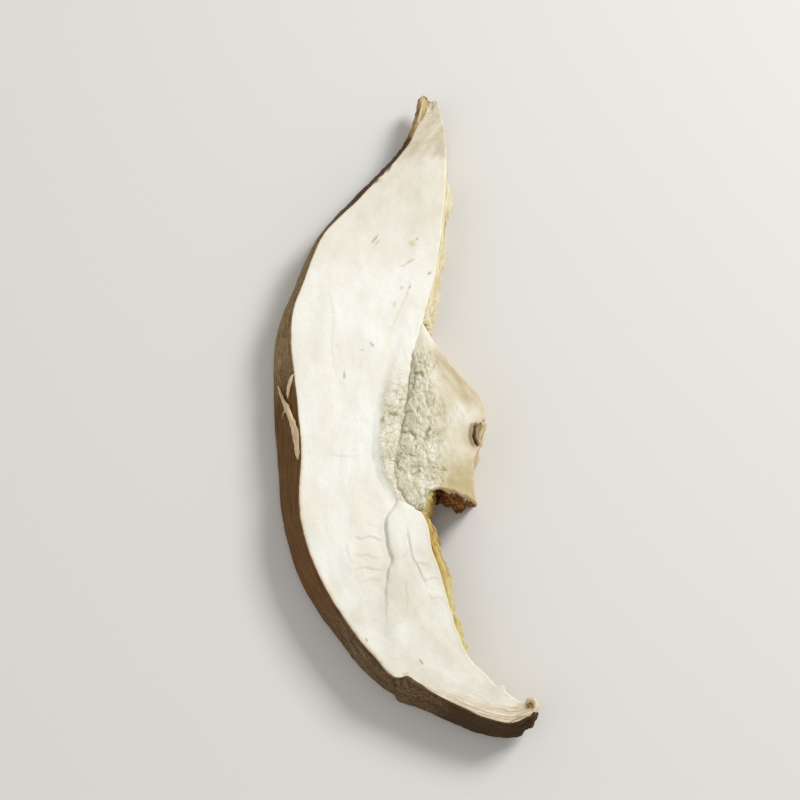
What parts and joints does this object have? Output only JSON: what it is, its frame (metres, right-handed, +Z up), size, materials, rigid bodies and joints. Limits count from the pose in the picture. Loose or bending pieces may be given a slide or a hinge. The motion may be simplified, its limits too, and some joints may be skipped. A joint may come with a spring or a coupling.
{
  "type": "dried shiitake slice",
  "caption": "Dried shiitake slice lying on its cut face: a crescent of cap flesh with dark skin, gill ridges and a stump of stem.",
  "frame": {"origin": "middle of the base of the slice's box, on the surface that it lies on", "axes": "+Z up out of the upper cut face, +Y along the slice towards its narrower tip, -X towards the cap's skin"},
  "size_m": [0.032, 0.0848, 0.0062],
  "materials": {
    "cap_flesh": "matt",
    "cap_skin": "dull",
    "gills": "matt",
    "stem_flesh": "matt"
  },
  "bodies": {
    "root": {"cap": "cap_flesh", "stem": "stem_flesh"}
  },
  "joints": []
}
